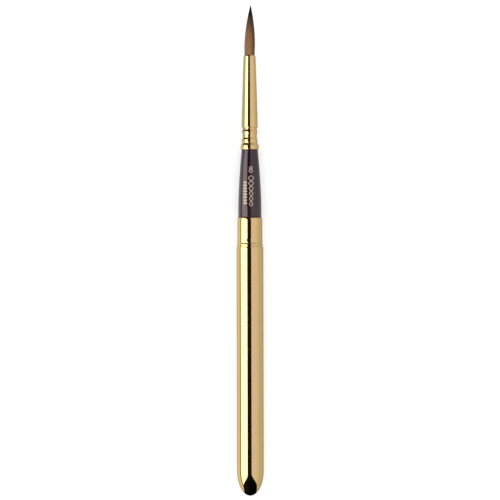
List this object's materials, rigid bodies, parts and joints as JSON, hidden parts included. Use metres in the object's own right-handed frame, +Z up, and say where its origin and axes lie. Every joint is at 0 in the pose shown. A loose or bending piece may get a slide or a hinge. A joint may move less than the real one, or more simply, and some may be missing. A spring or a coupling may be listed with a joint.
{
  "type": "reversible pocket paint brush",
  "caption": "Reversible pocket paint brush: pointed hair in a crimped metal ferrule on a wooden grip, plugged into a hollow handle tube that also sheathes the hair.",
  "frame": {"origin": "centre of the bounding box at the base: under the middle of the brush, on the surface it lies on", "axes": "+X along the brush towards the hair tip, +Y to one side, +Z up; the brush lies on the flat underside of its handle tube"},
  "size_m": [0.218, 0.012, 0.0119],
  "materials": {
    "plated_brass_handle": "gold plated, polished",
    "plated_brass_head": "gold plated, polished",
    "lacquered_wood": "dark stained, clear gloss lacquer",
    "black_rubber": "smooth, matt",
    "resin": "set cement, slightly glossy",
    "waxed_thread": "wound waxed thread",
    "sable_hair": "natural hair, soft sheen, dark tips"
  },
  "bodies": {
    "handle": {"handle_tube": "plated_brass_handle"},
    "ring": {"friction_ring": "black_rubber"},
    "head": {"connector_sleeve": "plated_brass_head", "grip": "lacquered_wood", "ferrule": "plated_brass_head", "hair_cement": "resin", "root_binding": "waxed_thread", "hair_tuft": "sable_hair"}
  },
  "joints": [
    {"name": "head_pull", "type": "slide", "parent": "handle", "child": "ring", "axis": [1, 0, 0], "range_m": [0, 0.036]},
    {"name": "head_twist", "type": "hinge", "parent": "ring", "child": "head", "pos_m": [-0.0075, 0, 0.00595], "axis": [1, 0, 0], "continuous": true}
  ]
}
